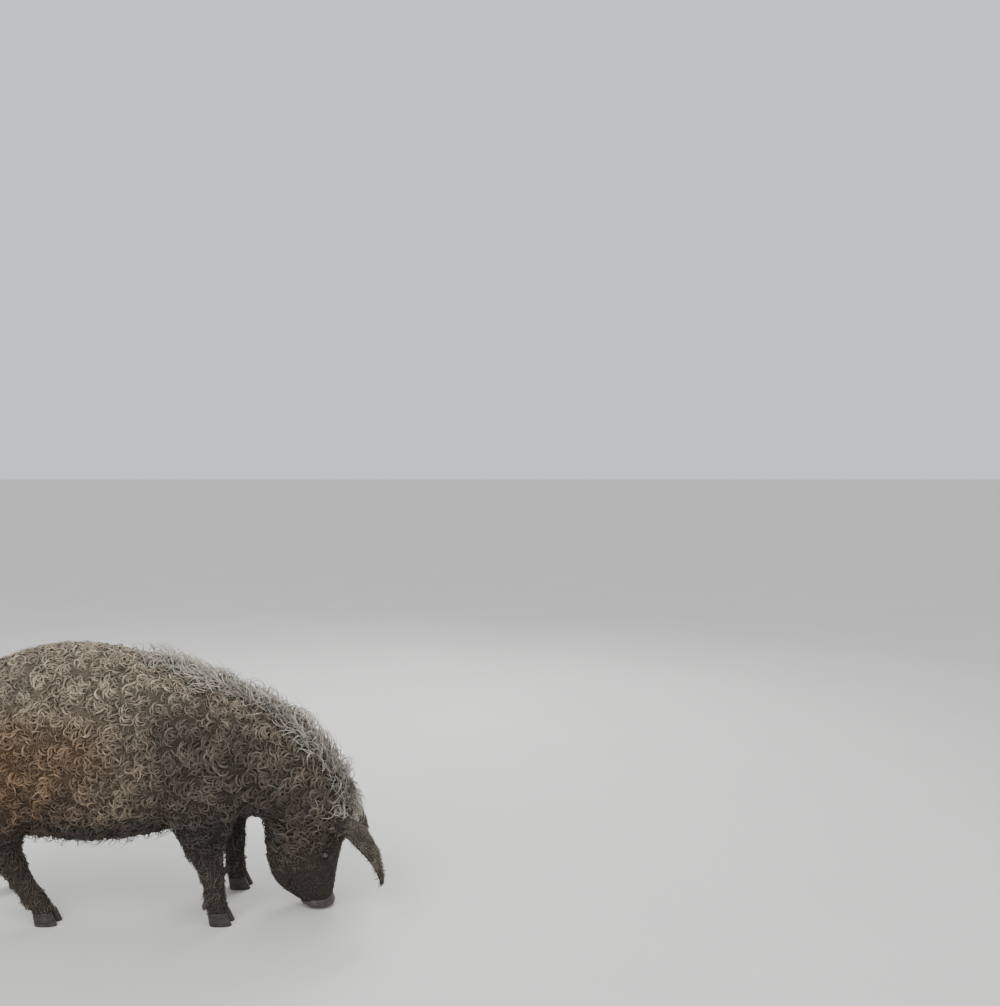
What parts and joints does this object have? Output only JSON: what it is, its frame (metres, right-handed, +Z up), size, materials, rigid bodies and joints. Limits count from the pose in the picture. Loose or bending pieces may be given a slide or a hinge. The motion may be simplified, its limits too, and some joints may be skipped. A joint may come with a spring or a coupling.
{
  "type": "mangalica pig",
  "caption": "Life-size still model of a curly-coated mangalica pig standing with its head lowered to root.",
  "frame": {"origin": "on the floor, under the middle of the animal's bounding box", "axes": "+X the way the pig faces, +Y to its left, +Z up"},
  "size_m": [1.4559, 0.4989, 0.8274],
  "materials": {
    "curly_coat": "dense curly greyish blond hair, matted with dried mud",
    "leg_coat": "short coarse hair caked with mud",
    "dark_skin": "bare dark grey skin, slightly moist",
    "claw": "dull dark horn with mud in its grooves",
    "eye": "wet dark brown eye"
  },
  "bodies": {
    "root": {"torso": "curly_coat", "neck": "curly_coat", "head": "curly_coat", "snout_disc": "dark_skin", "eye_right": "eye", "eye_left": "eye", "ear_right": "curly_coat", "ear_left": "curly_coat", "tail": "curly_coat", "fore_right_upper_leg": "curly_coat", "fore_right_lower_leg": "leg_coat", "fore_right_claw_outer": "claw", "fore_right_claw_inner": "claw", "fore_left_upper_leg": "curly_coat", "fore_left_lower_leg": "leg_coat", "fore_left_claw_outer": "claw", "fore_left_claw_inner": "claw", "hind_right_upper_leg": "curly_coat", "hind_right_lower_leg": "leg_coat", "hind_right_claw_outer": "claw", "hind_right_claw_inner": "claw", "hind_left_upper_leg": "curly_coat", "hind_left_lower_leg": "leg_coat", "hind_left_claw_outer": "claw", "hind_left_claw_inner": "claw"}
  },
  "joints": []
}
